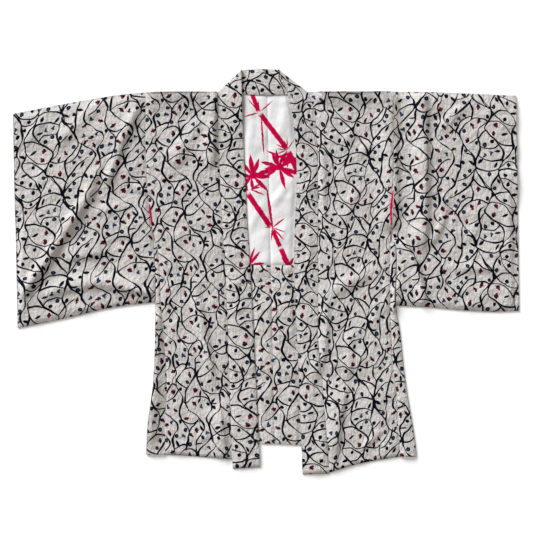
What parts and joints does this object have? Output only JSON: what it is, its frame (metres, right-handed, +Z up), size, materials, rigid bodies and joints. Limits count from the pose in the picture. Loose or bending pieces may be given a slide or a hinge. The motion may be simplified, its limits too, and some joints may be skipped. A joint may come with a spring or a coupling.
{
  "type": "haori jacket",
  "caption": "Short kimono jacket with wide square sleeves, side gussets and a folded collar band, laid flat with its fronts up.",
  "frame": {"origin": "middle of the laid-out garment's bounding box, on the surface it lies on", "axes": "X runs from the sleeve at the viewer's left to the one at the right, Y from the hem to the collar, Z up out of the surface; the fronts face +Z"},
  "size_m": [1.2641, 1.01, 0.013],
  "materials": {
    "printed_silk": "soft grey woven silk printed all over with a dark vine, leaves and small red and blue berries, low sheen",
    "lining_silk": "smooth white plain-weave silk with crimson stencilled bamboo, low sheen"
  },
  "bodies": {
    "root": {"body_left": "printed_silk", "body_right": "printed_silk", "sleeve_left": "printed_silk", "sleeve_right": "printed_silk", "gusset_left": "printed_silk", "gusset_right": "printed_silk", "collar_band": "printed_silk", "hem_facing_left": "printed_silk", "hem_facing_right": "printed_silk", "back_lining_left": "lining_silk", "back_lining_right": "lining_silk"}
  },
  "joints": []
}
